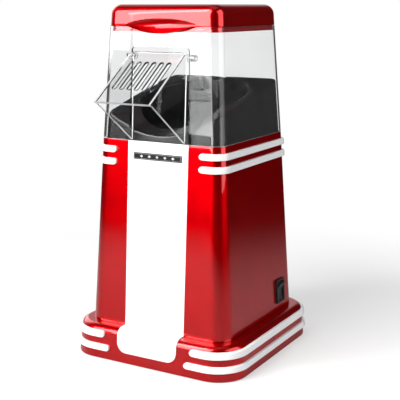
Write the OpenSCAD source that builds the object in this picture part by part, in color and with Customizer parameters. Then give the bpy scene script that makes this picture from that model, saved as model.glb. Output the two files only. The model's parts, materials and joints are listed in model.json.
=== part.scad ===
// Hot-air popcorn maker: a square tapered tower on a plinth, a clear cover with a
// swinging chute flap, and a lift-off lid. The motor, fan, heater and popping chamber
// stand inside the tower.
// The origin is the centre of the base on the surface it stands on. +Z is up, the front
// faces -Y, and the switch is on the +X side. All sizes are in millimetres.

/* [Plinth] */
// Width of the plinth at the floor
plinth_w = 163; // [160:1:168]
// Height of the plinth
plinth_h = 28.9; // [27.5:0.1:30]
// Corner radius of the plinth in plan
plinth_corner = 26; // [22:1:28]
// Radius of the plinth's rounded top edge
plinth_fillet = 6.4; // [5:0.1:7]

/* [Tower] */
// Width of the tower where it stands on the plinth
tower_bottom_w = 137; // [135:0.5:139]
// Width of the tower at its top
tower_top_w = 118.5; // [117:0.5:120]
// Height of the tower's top above the floor
tower_top_z = 189; // [187:0.5:192]
// Corner radius at the tower's bottom
tower_bottom_corner = 15; // [13:0.5:16]
// Corner radius at the tower's top, kept up to the lid
tower_top_corner = 10; // [9:0.5:11]
// Wall thickness of the red mouldings
shell_wall = 2.5; // [2.2:0.1:2.7]

/* [Trim] */
// Width of the white stripe
stripe_w = 58.6; // [54:0.2:62]
// Thickness of the white stripe
stripe_t = 1.5; // [1.2:0.1:1.6]
// How far the bands stand proud
band_t = 2.3; // [1.5:0.1:3]
// Width of the badge
badge_w = 46.6; // [40:0.2:50]
// Height of the badge
badge_h = 5.6; // [5:0.1:6]

/* [Cover and lid] */
// Height of the cover's rim above the floor
cover_top_z = 282.3; // [280:0.1:284]
// Overall height, to the top of the lid
lid_top_z = 300; // [298:0.5:302]
// Wall thickness of the clear cover
cover_wall = 2; // [1.8:0.1:2.2]
// Width of the front opening at its foot
opening_w = 59; // [58.5:0.5:60]
// Height of the front opening's top above the floor
opening_top_z = 266; // [265.5:0.5:267]
// Radius of the lid's rounded top edge
lid_fillet = 8.5; // [7:0.5:9]
// Width of the lid's finger tab
tab_w = 70; // [66:1:74]

/* [Chute flap] */
// Width of the flap across its side walls
flap_w = 52.4; // [50:0.2:52.8]
// Length of the slotted panel
flap_l = 64.2; // [60:0.2:66]
// Slope of the panel below the horizontal, at rest
flap_slope = 34.7; // [33:0.1:36]
// Thickness of the flap's walls
flap_t = 1.8; // [1.5:0.1:2]

/* [Hood] */
// Radius of the mouth above the popping chamber
mouth_r = 46; // [45:0.5:46.5]
// Height of the deck over the middle of the mouth
deck_mid_z = 223.4; // [222:0.2:225]
// Rise of the deck for each millimetre towards the back
deck_rise = 0.235; // [0.22:0.005:0.25]
// Height of the trough's lowest line under the middle of the mouth
trough_mid_z = 217.2; // [216:0.2:218]
// Rise of the trough for each millimetre towards the back
trough_rise = 0.39; // [0.37:0.01:0.41]

/* [Popping chamber] */
// Inner radius of the chamber
chamber_r = 44; // [43:0.5:44.5]
// Height of the chamber's floor above the surface the object stands on
chamber_z = 118; // [116:1:122]
// Number of slanted air slots round the chamber
air_slots = 16; // [12:1:20]

/* [Fan and motor] */
// Radius of the fan
fan_r = 45; // [42:0.5:46]
// Number of fan blades
fan_blades = 7; // [5:1:9]
// Radius of the motor can
motor_r = 18; // [16:0.5:19]

/* [Hidden] */
$fn = 64;
hull_fn = 32;       // facets on a blended corner
eps = 0.01;         // thickness of the plates that a blend runs between
fit = 0.3;          // gap between pieces that lift or swing apart
seat = 0.2;         // gap under a piece that rests on a rim

// The tower's outside: half width and corner radius at a height
draft = (tower_bottom_w - tower_top_w) / 2 / (tower_top_z - plinth_h);
function half(z) = tower_bottom_w / 2 - draft * (z - plinth_h);
corner_draft = (tower_bottom_corner - tower_top_corner) / (tower_top_z - plinth_h);
function corner(z) = max(tower_top_corner, tower_bottom_corner - corner_draft * (z - plinth_h));
draft_angle = atan(draft);

// Plinth
plinth_draft = 0.07;
plinth_open_w = 120;
plinth_open_corner = 30;
function plinth_half(z) = plinth_w / 2 - plinth_draft * z;

// Trim heights: [bottom, top, half the gap at the front]
plinth_lower_band_at = [7.7, 13.0, 37.5];
plinth_upper_band_at = [19.1, 25.0, 42.5];
body_lower_band_at = [167.5, 173.0, 40.2];
body_upper_band_at = [178.0, 183.4, 40.2];
panel_t = 1;            // thickness of the white panel on the plinth
panel_bottom_z = 9.2;
panel_corner = 9;
badge_z = 174;
badge_t = 0.8;

// Base plate and feet
base_z = 1.5;
base_t = 2.5;
base_top = base_z + base_t;
base_gap = 0.5;
foot_r = 9;
foot_h = 3;
foot_at = 52;
base_screw_at = 66;
grille_r = 32;
grille_slot = 3.6;
grille_pitch = 7.2;

// Screws: shaft and head
screw_r = 1.45;
screw_head_r = 3.1;
screw_head_h = 1.2;
boss_r = 4;
body_screw_at = 55;
body_boss_top = 50;
hood_screw_at = 46;

// Shelf inside the tower's top that carries the chamber and the hood
shelf_top = tower_top_z - 5.5;
shelf_t = 2.5;
shelf_hole_r = 51;

// Rocker switch, square to the tower's side wall
switch_y = 36.4;
switch_z = 47;
switch_bezel = [2, 15, 21];
switch_body = [13, 12.8, 19];
switch_well = [9, 11.2, 18.5];
rocker_w = 10.6;
rocker_tilt = 10;
rocker_pivot = -2;      // behind the wall's outer face
rocker_pin_r = 1;
run_gap = 0.05;         // radial gap of a running fit

// Cord gland in the rear wall
gland_z = 42;
gland_bore_r = 3.5;
gland_neck_r = 5.6;
gland_flange_r = 8;

// Motor and fan
motor_z = 22;
motor_h = 42;
motor_top = motor_z + motor_h;
motor_boss_r = 5;
shaft_r = 1.585;
shaft_bottom = 30;
shaft_top = 81;
duct_r = 48;
duct_t = 3;
duct_bottom = 56;
duct_top = 86;
spider_t = 2.5;
motor_screw_at = 11;
hub_r = 9;
hub_h = 11;
hub_z = 70;
blade_t = 1.6;
blade_chord = 15;
blade_pitch = 35;
post_at = 42.4;
post_r = 5;
ear_t = 3;

// Heater
former_r = 49;
former_t = 0.8;
former_top = 112;
coil_rings = [18, 27, 36];
coil_levels = [97, 106];
coil_r = 1.5;
shield_r = 50;
shield_t = 0.8;

// Popping chamber
chamber_t = 1;
chamber_flange_r = 53.5;
air_slot = [8, 2.2, 11];
gasket_t = 2;
mouth_bottom = shelf_top + chamber_t + gasket_t;

// Hood
hood_gap = 2.9;         // from the tower's outside to the hood's outside
hood_wall = 2.2;
hood_bottom = shelf_top;
trough_r = 98;
lip_w = 58;
lip_depth = 4;
function deck_z(y) = deck_mid_z + deck_rise * y;

// Chute flap: pivot, panel plane and the low rear corner, in the Y-Z plane
pivot_y = -52.5;
pivot_z = 258;
pin_r = 1.4;
pin_l = 4.9;
panel_off = 6.4;        // from the pivot to the panel's outer face
panel_start = 1.3;      // from the pivot's foot to the panel's upper edge
flap_corner = 5;
flap_slots = 6;
flap_slot_w = 4;
flap_slot_pitch = 7;
flap_slot_from = 13;
flap_slot_to = 48;
flap_foot_z = 190;
flap_clear = 0.5;
ear_r = 2.8;
ear_w = 5;

// Lid
lid_wall = 2.6;
plug_bottom = 278.2;
plug_gap = 0.4;
plug_t = 2;
tab_bottom = 277;
tab_crease = 283;
tab_top = 289;
tab_out = 5.3;
tab_tuck = 0.3;
tab_t = 2;
tab_chamfer = 1.2;      // how much thicker the tab is than its wall at the crease
tab_hook = 4;           // how far inside its ends the tab's lower edge meets the lid's

red = [0.75, 0.02, 0.04];
white = [0.95, 0.95, 0.94];
black = [0.06, 0.06, 0.07];
clear = [0.85, 0.9, 0.95, 0.35];
steel = [0.7, 0.7, 0.72];
aluminium = [0.8, 0.8, 0.82];
copper = [0.72, 0.45, 0.25];
mica = [0.78, 0.7, 0.5];
green = [0.1, 0.35, 0.2];
rubber = [0.12, 0.12, 0.12];

// ---- helpers ----

// Four thin round posts at the corners of a square: the ends of a blend
module corners(z, half_w, r) {
    for (x = [-1, 1], y = [-1, 1])
        translate([x * (half_w - r), y * (half_w - r), z])
            cylinder(h = eps, r = r, $fn = hull_fn);
}

// The tower's outside between two heights, moved in by inset
module tower(z0, z1, inset = 0) {
    hull() {
        corners(z0, half(z0) - inset, corner(z0) - inset);
        corners(z1 - eps, half(z1) - inset, corner(z1) - inset);
    }
}

// The plinth's outside with its rounded top edge, moved in by inset
module plinth_block(inset = 0) {
    r = plinth_fillet - inset;
    z = plinth_h - plinth_fillet;
    foot_z = inset > 0 ? -1 : 0;
    hull() {
        corners(foot_z, plinth_half(foot_z) - inset, plinth_corner - inset);
        for (a = [0 : 15 : 90])
            corners(z + r * sin(a) - eps, plinth_half(z) - inset - r * (1 - cos(a)),
                    plinth_corner - inset - r * (1 - cos(a)));
    }
}

// A square outline with round corners
module rounded_square(half_w, r) {
    square([2 * half_w, 2 * (half_w - r)], center = true);
    square([2 * (half_w - r), 2 * half_w], center = true);
    for (x = [-1, 1], y = [-1, 1]) translate([x * (half_w - r), y * (half_w - r)]) circle(r);
}

// Extrudes a Y-Z outline along X
module side_profile(width) {
    rotate([90, 0, 90]) linear_extrude(width, center = true) children();
}

// Extrudes an X-Z outline backwards from y
module front_profile(y, depth) {
    translate([0, y + depth, 0]) rotate([90, 0, 0]) linear_extrude(depth) children();
}

// A slab that lies on the tower's sloping front, from out in front of it to in behind it
module front_slab(width, z0, z1, out, in) {
    side_profile(width)
        polygon([[-half(z0) - out, z0], [-half(z1) - out, z1],
                 [-half(z1) + in, z1], [-half(z0) + in, z0]]);
}

// Places its children at the four corners of a square
module at_corners(d) {
    for (x = [-1, 1], y = [-1, 1]) translate([x * d, y * d, 0]) children();
}

// A screw pointing up, its head's lower face at z = 0
module screw(length, head_r = screw_head_r, head_h = screw_head_h, r = screw_r) {
    difference() {
        union() {
            cylinder(h = head_h, r = head_r);
            cylinder(h = head_h + length, r = r);
        }
        for (a = [0, 90]) rotate(a) translate([-head_r * 0.6, -0.35, -1]) cube([head_r * 1.2, 0.7, 1.6]);
    }
}

// The gap at the front of a band, its ends half round
module band_gap(at, y) {
    r = (at[1] - at[0]) / 2;
    end = at[2] + r;
    front_profile(y, 40) difference() {
        translate([-end, at[0] - 1]) square([2 * end, 2 * r + 2]);
        for (x = [-1, 1]) translate([x * end, at[0] + r]) circle(r);
    }
}

// A band round the tower
module tower_band(at) {
    difference() {
        tower(at[0], at[1], -band_t);
        tower(at[0] - 1, at[1] + 1);
        band_gap(at, -half(at[0]) - 20);
    }
}

// A band round the plinth
module plinth_band(at) {
    difference() {
        intersection() {
            plinth_block(-band_t);
            translate([-plinth_w, -plinth_w, at[0]]) cube([2 * plinth_w, 2 * plinth_w, at[1] - at[0]]);
        }
        plinth_block();
        band_gap(at, -plinth_w / 2 - 20);
    }
}

// The frame of the switch: x out of the side wall, origin on the wall's outer face
module switch_frame() {
    translate([half(switch_z), switch_y, switch_z]) rotate([0, -draft_angle, 0]) children();
}

// The frame of the flap: -y down the panel, z out of it, origin at the pivot
module flap_frame() {
    translate([0, pivot_y, pivot_z]) rotate([flap_slope, 0, 0]) children();
}

// ---- plinth ----

module plinth() {
    color(red) difference() {
        union() {
            difference() {
                plinth_block();
                plinth_block(shell_wall);
            }
            at_corners(base_screw_at)
                translate([0, 0, base_top]) cylinder(h = plinth_h - base_top - 1, r = boss_r);
        }
        translate([0, 0, plinth_h - 10]) linear_extrude(20)
            rounded_square(plinth_open_w / 2, plinth_open_corner);
        at_corners(base_screw_at) translate([0, 0, base_top - 1]) cylinder(h = 13, r = screw_r);
        at_corners(body_screw_at) translate([0, 0, plinth_h - 5]) cylinder(h = 10, r = screw_r + 0.2);
    }
}

module plinth_front_panel() {
    w = stripe_w / 2;
    color(white) intersection() {
        difference() {
            plinth_block(-panel_t);
            plinth_block();
        }
        front_profile(-plinth_w, plinth_w - half(plinth_h)) union() {
            translate([-w, panel_bottom_z + panel_corner]) square([2 * w, plinth_h]);
            translate([-w + panel_corner, panel_bottom_z])
                square([2 * (w - panel_corner), panel_corner * 2]);
            for (x = [-1, 1])
                translate([x * (w - panel_corner), panel_bottom_z + panel_corner]) circle(panel_corner);
        }
    }
}

module plinth_upper_band() { color(white) plinth_band(plinth_upper_band_at); }
module plinth_lower_band() { color(white) plinth_band(plinth_lower_band_at); }

module base_plate() {
    color(black) difference() {
        union() {
            translate([0, 0, base_z]) linear_extrude(base_t)
                rounded_square(plinth_half(base_z) - shell_wall - base_gap,
                               plinth_corner - shell_wall - base_gap);
            at_corners(post_at) translate([0, 0, base_z]) cylinder(h = duct_bottom - base_z, r = post_r);
        }
        // air inlet: a round grille of parallel slots
        for (i = [-4 : 4]) {
            reach = sqrt(grille_r * grille_r - pow(i * grille_pitch, 2));
            translate([i * grille_pitch - grille_slot / 2, -reach, -1])
                cube([grille_slot, 2 * reach, base_top + 2]);
        }
        at_corners(foot_at) translate([0, 0, -1]) cylinder(h = foot_h + 1, r = foot_r + 0.2);
        at_corners(base_screw_at) {
            translate([0, 0, -1]) cylinder(h = base_top + 2, r = screw_r + 0.05);
            translate([0, 0, -1]) cylinder(h = base_z + 1 + screw_head_h, r = screw_head_r + 0.4);
        }
        at_corners(post_at) translate([0, 0, duct_bottom - 12]) cylinder(h = 13, r = screw_r);
    }
}

module feet() {
    color(rubber) at_corners(foot_at) cylinder(h = foot_h, r = foot_r);
}

module base_screws() {
    color(steel) at_corners(base_screw_at) translate([0, 0, base_z]) screw(10);
}

// ---- tower ----

module body_shell() {
    z = (plinth_h + body_boss_top) / 2;
    rib_end = sqrt(2) * (half(z) - corner(z)) + corner(z) - shell_wall / 2;
    color(red) difference() {
        union() {
            difference() {
                tower(plinth_h, tower_top_z);
                tower(plinth_h - 1, shelf_top - shelf_t, shell_wall);
                tower(shelf_top, tower_top_z + 1, shell_wall);
            }
            for (a = [45 : 90 : 315]) rotate(a)
                translate([sqrt(2) * body_screw_at, -1, plinth_h])
                    cube([rib_end - sqrt(2) * body_screw_at, 2, body_boss_top - plinth_h]);
            at_corners(body_screw_at)
                translate([0, 0, plinth_h]) cylinder(h = body_boss_top - plinth_h, r = boss_r);
        }
        translate([0, 0, shelf_top - 10]) cylinder(h = 20, r = shelf_hole_r);
        at_corners(hood_screw_at) translate([0, 0, shelf_top - 5]) cylinder(h = 10, r = screw_r + 0.2);
        at_corners(body_screw_at) translate([0, 0, plinth_h - 1]) cylinder(h = 13, r = screw_r);
        // recess for the white stripe
        front_slab(stripe_w + seat, plinth_h - 1, tower_top_z + 1, 1, stripe_t);
        switch_frame() translate([-10, -switch_body[1] / 2 - 0.1, -switch_body[2] / 2 - 0.1])
            cube([20, switch_body[1] + 0.2, switch_body[2] + 0.2]);
        translate([0, half(gland_z) + 5, gland_z]) rotate([90, 0, 0]) cylinder(h = 12, r = gland_neck_r);
    }
}

module front_panel() {
    color(white) front_slab(stripe_w, plinth_h + panel_t, tower_top_z, 0, stripe_t);
}

module body_upper_band() { color(white) tower_band(body_upper_band_at); }
module body_lower_band() { color(white) tower_band(body_lower_band_at); }

module badge() {
    color(black) front_slab(badge_w, badge_z, badge_z + badge_h, badge_t, 0);
}

module body_screws() {
    color(steel) at_corners(body_screw_at)
        translate([0, 0, plinth_h - shell_wall - screw_head_h]) screw(12);
}

module cord_gland() {
    wall_y = half(gland_z);
    color(black) translate([0, wall_y, gland_z]) rotate([-90, 0, 0]) difference() {
        union() {
            translate([0, 0, 0.6]) cylinder(h = 2, r = gland_flange_r);
            translate([0, 0, -9]) cylinder(h = 10, r = gland_neck_r - 0.1);
            translate([0, 0, -9]) cylinder(h = 5.8, r = gland_neck_r + 1);
        }
        translate([0, 0, -20]) cylinder(h = 40, r = gland_bore_r);
    }
}

// ---- switch ----

module switch_housing() {
    color(black) switch_frame() difference() {
        union() {
            translate([0, -switch_bezel[1] / 2, -switch_bezel[2] / 2]) cube(switch_bezel);
            translate([-switch_body[0], -switch_body[1] / 2, -switch_body[2] / 2])
                cube([switch_body[0] + 1, switch_body[1], switch_body[2]]);
        }
        translate([-switch_well[0], -switch_well[1] / 2, -switch_well[2] / 2])
            cube([switch_well[0] + 5, switch_well[1], switch_well[2]]);
        translate([rocker_pivot, 0, 0]) rotate([90, 0, 0])
            cylinder(h = rocker_w + 2.2, r = rocker_pin_r + run_gap, center = true);
    }
}

module switch_terminals() {
    color(copper) switch_frame() for (z = [-5.5, 0, 5.5])
        translate([-switch_body[0] - 5.5, -2.4, z - 0.4]) cube([5.5, 4.8, 0.8]);
}

module switch_rocker() {
    color(black) switch_frame() translate([rocker_pivot, 0, 0]) rotate([0, rocker_tilt, 0]) {
        rotate([90, 0, 0]) linear_extrude(rocker_w, center = true)
            polygon([[-4, -5], [-4, 5], [0.5, 8.1], [4.8, 8], [3.1, 4], [2.5, 0],
                     [3.1, -4], [4.8, -8], [0.5, -8.1]]);
        rotate([90, 0, 0]) cylinder(h = rocker_w + 1.8, r = rocker_pin_r, center = true);
    }
}

// ---- motor and fan ----

module rectifier_board() {
    color(green) translate([0, 0, motor_z - 4.6]) cylinder(h = 1.6, r = motor_r - 2);
}

module rectifier_diodes() {
    color(black) for (a = [0 : 90 : 270]) rotate(a)
        translate([8, 0, motor_z - 6]) rotate([90, 0, 0]) cylinder(h = 6, r = 1.4, center = true);
}

module motor() {
    color(steel) difference() {
        union() {
            translate([0, 0, motor_z]) cylinder(h = motor_h, r = motor_r);
            translate([0, 0, motor_top]) cylinder(h = spider_t - 0.2, r = motor_boss_r);
        }
        translate([0, 0, shaft_bottom - 1]) cylinder(h = shaft_top, r = shaft_r + run_gap);
        for (x = [-1, 1]) translate([x * motor_screw_at, 0, motor_top - 6]) cylinder(h = 10, r = screw_r);
    }
}

module motor_end_cap() {
    color(black) translate([0, 0, motor_z - 3]) cylinder(h = 3, r = motor_r - 0.5);
}

module motor_shaft() {
    color(steel) translate([0, 0, shaft_bottom]) cylinder(h = shaft_top - shaft_bottom, r = shaft_r);
}

module motor_screws() {
    color(steel) for (x = [-1, 1])
        translate([x * motor_screw_at, 0, motor_top + spider_t + screw_head_h]) mirror([0, 0, 1]) screw(6);
}

module fan_impeller() {
    color(black) difference() {
        intersection() {
            union() {
                translate([0, 0, hub_z]) cylinder(h = hub_h, r = hub_r);
                for (i = [0 : fan_blades - 1]) rotate(i * 360 / fan_blades)
                    translate([0, 0, hub_z + hub_h / 2]) rotate([blade_pitch, 0, 0])
                        translate([hub_r - 2, -blade_chord / 2, -blade_t / 2])
                            cube([fan_r, blade_chord, blade_t]);
            }
            translate([0, 0, hub_z]) cylinder(h = hub_h, r = fan_r);
        }
        translate([0, 0, hub_z - 1]) cylinder(h = hub_h + 2, r = shaft_r);
    }
}

module fan_housing() {
    color(black) difference() {
        union() {
            difference() {
                translate([0, 0, duct_bottom]) cylinder(h = duct_top - duct_bottom, r = duct_r + duct_t);
                translate([0, 0, duct_bottom - 1]) cylinder(h = duct_top, r = duct_r);
            }
            // motor spider
            translate([0, 0, motor_top]) cylinder(h = spider_t, r = motor_r + 1);
            for (a = [45, 135]) rotate(a)
                translate([-duct_r - 1, -4, motor_top]) cube([2 * duct_r + 2, 8, spider_t]);
            // ears on the base plate's posts
            for (a = [45 : 90 : 315]) rotate(a) {
                translate([duct_r + 1, -5, duct_bottom])
                    cube([sqrt(2) * post_at - duct_r - 1, 10, ear_t]);
                translate([sqrt(2) * post_at, 0, duct_bottom]) cylinder(h = ear_t, r = 5);
            }
        }
        translate([0, 0, motor_top - 1]) cylinder(h = spider_t + 2, r = motor_boss_r + 0.1);
        for (x = [-1, 1]) translate([x * motor_screw_at, 0, motor_top - 1])
            cylinder(h = spider_t + 2, r = screw_r + 0.1);
        at_corners(post_at) translate([0, 0, duct_bottom - 1]) cylinder(h = ear_t + 2, r = screw_r + 0.1);
    }
}

module housing_screws() {
    color(steel) at_corners(post_at)
        translate([0, 0, duct_bottom + ear_t + screw_head_h]) mirror([0, 0, 1]) screw(12);
}

// ---- heater ----

module coil(r) {
    for (z = coil_levels, ring = coil_rings)
        translate([0, 0, z]) rotate_extrude() translate([ring, 0]) circle(r);
}

module heater_former() {
    color(mica) difference() {
        intersection() {
            union() for (a = [0, 90]) rotate(a)
                translate([-former_r, -former_t / 2, duct_top])
                    cube([2 * former_r, former_t, former_top - duct_top]);
            cylinder(h = former_top, r = former_r);
        }
        coil(coil_r + 0.3);
    }
}

module heating_coil() {
    color(copper) union() {
        coil(coil_r);
        // links that join the rings into one winding
        for (a = [45, 225]) rotate(a) {
            for (ring = coil_rings) translate([ring, 0, coil_levels[0]])
                cylinder(h = coil_levels[1] - coil_levels[0], r = 0.8);
            translate([coil_rings[0], 0, coil_levels[0]]) rotate([0, 90, 0])
                cylinder(h = coil_rings[2] - coil_rings[0], r = 0.8);
        }
    }
}

module heat_shield() {
    color(steel) translate([0, 0, duct_top]) difference() {
        cylinder(h = shelf_top - shelf_t - duct_top + 2, r = shield_r);
        translate([0, 0, -1]) cylinder(h = shelf_top, r = shield_r - shield_t);
    }
}

module thermostat() {
    color(black) translate([0, shield_r + 0.1, 150]) rotate([-90, 0, 0]) union() {
        cylinder(h = 4.5, r = 8);
        for (x = [-1, 1]) translate([x * 8 - 1, -1.5, 1]) cube([2, 3, 3]);
    }
}

module thermal_fuse() {
    color(steel) rotate(60) translate([shield_r + 2.1, 0, 140]) cylinder(h = 12, r = 2);
}

// ---- chamber ----

module popping_chamber() {
    outer = chamber_r + chamber_t;
    color(aluminium) difference() {
        union() {
            difference() {
                translate([0, 0, chamber_z]) cylinder(h = shelf_top + chamber_t - chamber_z, r = outer);
                translate([0, 0, chamber_z + chamber_t]) cylinder(h = shelf_top, r = chamber_r);
            }
            // flange on the tower's shelf
            translate([0, 0, shelf_top]) difference() {
                cylinder(h = chamber_t, r = chamber_flange_r);
                translate([0, 0, -1]) cylinder(h = 5, r = chamber_r);
            }
            // raised centre of the floor
            translate([0, 0, chamber_z]) cylinder(h = 5, r1 = 22, r2 = 12);
        }
        translate([0, 0, chamber_z - 1]) cylinder(h = 5, r1 = 22, r2 = 12);
        // slanted air slots that set the corn spinning
        for (i = [0 : air_slots - 1]) rotate(i * 360 / air_slots)
            translate([chamber_r, 0, chamber_z + 4 + air_slot[2] / 2]) rotate([0, 0, 50])
                cube(air_slot, center = true);
    }
}

module chamber_gasket() {
    color(rubber) translate([0, 0, shelf_top + chamber_t]) difference() {
        cylinder(h = gasket_t, r = chamber_flange_r - 1.5);
        translate([0, 0, -1]) cylinder(h = gasket_t + 2, r = mouth_r);
    }
}

// ---- hood ----

// The hood's outside, moved in by inset: a block with a sloping deck and a trough down to the front lip
module hood_block(inset = 0) {
    top = deck_z(half(tower_top_z));
    difference() {
        union() {
            tower(hood_bottom - (inset > 0 ? 1 : 0), top, hood_gap + inset);
            if (inset == 0)
                front_slab(lip_w, tower_top_z + fit, tower_top_z + 12, 0, lip_depth);
        }
        side_profile(2 * tower_bottom_w)
            polygon([[-90, deck_z(-90) - inset], [90, deck_z(90) - inset], [90, 300], [-90, 300]]);
        translate([0, 0, trough_mid_z]) rotate([atan(trough_rise), 0, 0])
            translate([0, 0, trough_r]) rotate([90, 0, 0])
                cylinder(h = 300, r = trough_r + inset, center = true, $fn = 180);
    }
}

module hood() {
    color(black) difference() {
        union() {
            difference() {
                hood_block();
                hood_block(hood_wall);
            }
            intersection() {
                hood_block();
                union() {
                    translate([0, 0, mouth_bottom]) cylinder(h = 100, r = mouth_r + hood_wall);
                    at_corners(hood_screw_at) cylinder(h = 300, r = boss_r);
                }
            }
        }
        cylinder(h = 300, r = mouth_r);
        at_corners(hood_screw_at) translate([0, 0, hood_bottom - 1]) cylinder(h = 9, r = screw_r);
    }
}

module hood_screws() {
    color(steel) at_corners(hood_screw_at)
        translate([0, 0, shelf_top - shelf_t - screw_head_h]) screw(10);
}

// ---- cover, flap and lid ----

module opening_outline() {
    w = opening_w / 2;
    r = 3;
    top_w = w - 2;
    polygon([[-w, tower_top_z - 2], [w, tower_top_z - 2],
             [top_w, opening_top_z - r], [-top_w, opening_top_z - r]]);
    translate([-top_w + r, opening_top_z - 2 * r]) square([2 * (top_w - r), 2 * r]);
    for (x = [-1, 1]) translate([x * (top_w - r), opening_top_z - r]) circle(r);
}

module cover() {
    color(clear) difference() {
        union() {
            difference() {
                tower(tower_top_z + seat, cover_top_z);
                tower(tower_top_z - 1, cover_top_z + 1, cover_wall);
                front_profile(-half(tower_top_z) - 5, 15) opening_outline();
            }
            // ears that hold the flap's pins
            for (x = [-1, 1]) translate([x * (opening_w / 2 - 1.3 + ear_w / 2), pivot_y, pivot_z])
                rotate([0, 90, 0]) cylinder(h = ear_w, r = ear_r, center = true);
        }
        translate([0, pivot_y, pivot_z]) rotate([0, 90, 0])
            cylinder(h = flap_w + 2 * pin_l + 1, r = pin_r + run_gap, center = true);
    }
}

module flap_panel() {
    w = flap_w / 2;
    r = flap_corner;
    translate([0, 0, panel_off - flap_t]) linear_extrude(flap_t) difference() {
        union() {
            translate([-w, -panel_start - flap_l]) square([flap_w, flap_l - r]);
            translate([-w + r, -panel_start - 2 * r]) square([flap_w - 2 * r, 2 * r]);
            for (x = [-1, 1]) translate([x * (w - r), -panel_start - r]) circle(r);
        }
        for (i = [0 : flap_slots - 1])
            translate([(i - (flap_slots - 1) / 2) * flap_slot_pitch, -panel_start]) {
                translate([-flap_slot_w / 2, -flap_slot_to + flap_slot_w / 2])
                    square([flap_slot_w, flap_slot_to - flap_slot_from - flap_slot_w]);
                for (s = [flap_slot_from + flap_slot_w / 2, flap_slot_to - flap_slot_w / 2])
                    translate([0, -s]) circle(flap_slot_w / 2);
            }
    }
}

// A point of the Y-Z plane in the flap's frame
function in_flap(y, z) = [(y - pivot_y) * cos(flap_slope) + (z - pivot_z) * sin(flap_slope),
                          (z - pivot_z) * cos(flap_slope) - (y - pivot_y) * sin(flap_slope)];

// One side wall in the flap's frame: it runs from the panel to a straight rear edge along
// the tower's front, with a round ear at the pivot
module flap_side() {
    top = [-panel_start - flap_corner / 2, panel_off - flap_t / 2];
    apex = [-panel_start - flap_l + 0.6, panel_off - flap_t / 2];
    foot = in_flap(-half(flap_foot_z) - flap_clear, flap_foot_z);
    rear = in_flap(-half(pivot_z) - flap_clear, pivot_z);
    ear = in_flap(pivot_y, pivot_z - ear_r);
    polygon([top, apex, foot, rear]);
    polygon([top, rear, ear, -ear]);
    circle(ear_r);
}

module chute_flap() {
    color(clear) flap_frame() union() {
        flap_panel();
        for (x = [-1, 1]) translate([x * (flap_w - flap_t) / 2, 0, 0]) {
            side_profile(flap_t) flap_side();
            translate([x * pin_l / 2, 0, 0]) rotate([0, 90, 0])
                cylinder(h = pin_l + flap_t, r = pin_r, center = true);
        }
    }
}

// The lid's outside with its rounded top edge, moved in by inset
module lid_block(inset = 0) {
    z = lid_top_z - lid_fillet;
    r = lid_fillet - inset;
    foot_z = cover_top_z + (inset > 0 ? -1 : seat);
    hull() {
        corners(foot_z, half(foot_z) - inset, tower_top_corner - inset);
        for (a = [0 : 15 : 90])
            corners(z + r * sin(a) - eps, half(z) - inset - r * (1 - cos(a)),
                    tower_top_corner - inset - (r * (1 - cos(a))) * 0.8);
    }
}

// The finger tab: it slopes out of the front wall to a crease, drops from there to a curved
// lower edge, and is hollow behind
module lid_tab() {
    half_w = tab_w / 2;
    crease_r = (half_w * half_w + tab_out * tab_out) / (2 * tab_out);
    centre_y = -half(tab_crease) - tab_out + crease_r;
    lid_foot = cover_top_z + seat;
    drop = lid_foot - tab_bottom;
    edge_half = half_w - tab_hook;
    edge_r = (edge_half * edge_half + drop * drop) / (2 * drop);
    intersection() {
        difference() {
            translate([0, centre_y, 0]) union() {
                translate([0, 0, tab_bottom])
                    cylinder(h = tab_crease - tab_bottom, r1 = crease_r - tab_tuck, r2 = crease_r, $fn = 180);
                translate([0, 0, tab_crease])
                    cylinder(h = tab_top - tab_crease, r1 = crease_r, r2 = centre_y + half(tab_top), $fn = 180);
            }
            // the finger space behind the tab
            translate([0, centre_y, tab_bottom - 1])
                cylinder(h = cover_top_z - tab_bottom + 1, r = crease_r - tab_t - tab_chamfer, $fn = 180);
            side_profile(4 * crease_r)
                polygon([[-half(tab_bottom - 1) - flap_clear, tab_bottom - 1],
                         [-half(cover_top_z) - flap_clear, lid_foot],
                         [-half(cover_top_z) + 1, lid_foot],
                         [-half(tab_top) + 1, tab_top + 1],
                         [3 * crease_r, tab_top + 1], [3 * crease_r, tab_bottom - 1]]);
        }
        front_profile(-half(tab_bottom) - 2 * tab_out, 40) union() {
            translate([0, tab_bottom + edge_r]) circle(edge_r, $fn = 180);
            translate([-half_w, lid_foot]) square([tab_w, tab_top - lid_foot]);
        }
    }
}

module lid() {
    color(red) union() {
        difference() {
            lid_block();
            lid_block(lid_wall);
        }
        lid_tab();
        difference() {
            tower(plug_bottom, cover_top_z + 4, cover_wall + plug_gap);
            tower(plug_bottom - 1, cover_top_z + 5, cover_wall + plug_gap + plug_t);
        }
    }
}

plinth();
plinth_front_panel();
plinth_upper_band();
plinth_lower_band();
base_plate();
feet();
base_screws();
body_shell();
front_panel();
body_upper_band();
body_lower_band();
badge();
body_screws();
cord_gland();
switch_housing();
switch_terminals();
switch_rocker();
rectifier_board();
rectifier_diodes();
motor();
motor_end_cap();
motor_shaft();
motor_screws();
fan_impeller();
fan_housing();
housing_screws();
heater_former();
heating_coil();
thermostat();
thermal_fuse();
heat_shield();
popping_chamber();
chamber_gasket();
hood();
hood_screws();
cover();
chute_flap();
lid();
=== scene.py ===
"""Looks of the hot-air popcorn maker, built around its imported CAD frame.

The object's sizes are in millimetres, as in the CAD source, and a mesh is turned to metres when it is made.
The studio's sizes are in metres. The object stands on z = 0, its front faces -Y, and the switch is on its
+X side.
"""

import json
import math

import bmesh
import bpy
from mathutils import Matrix, Vector


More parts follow.
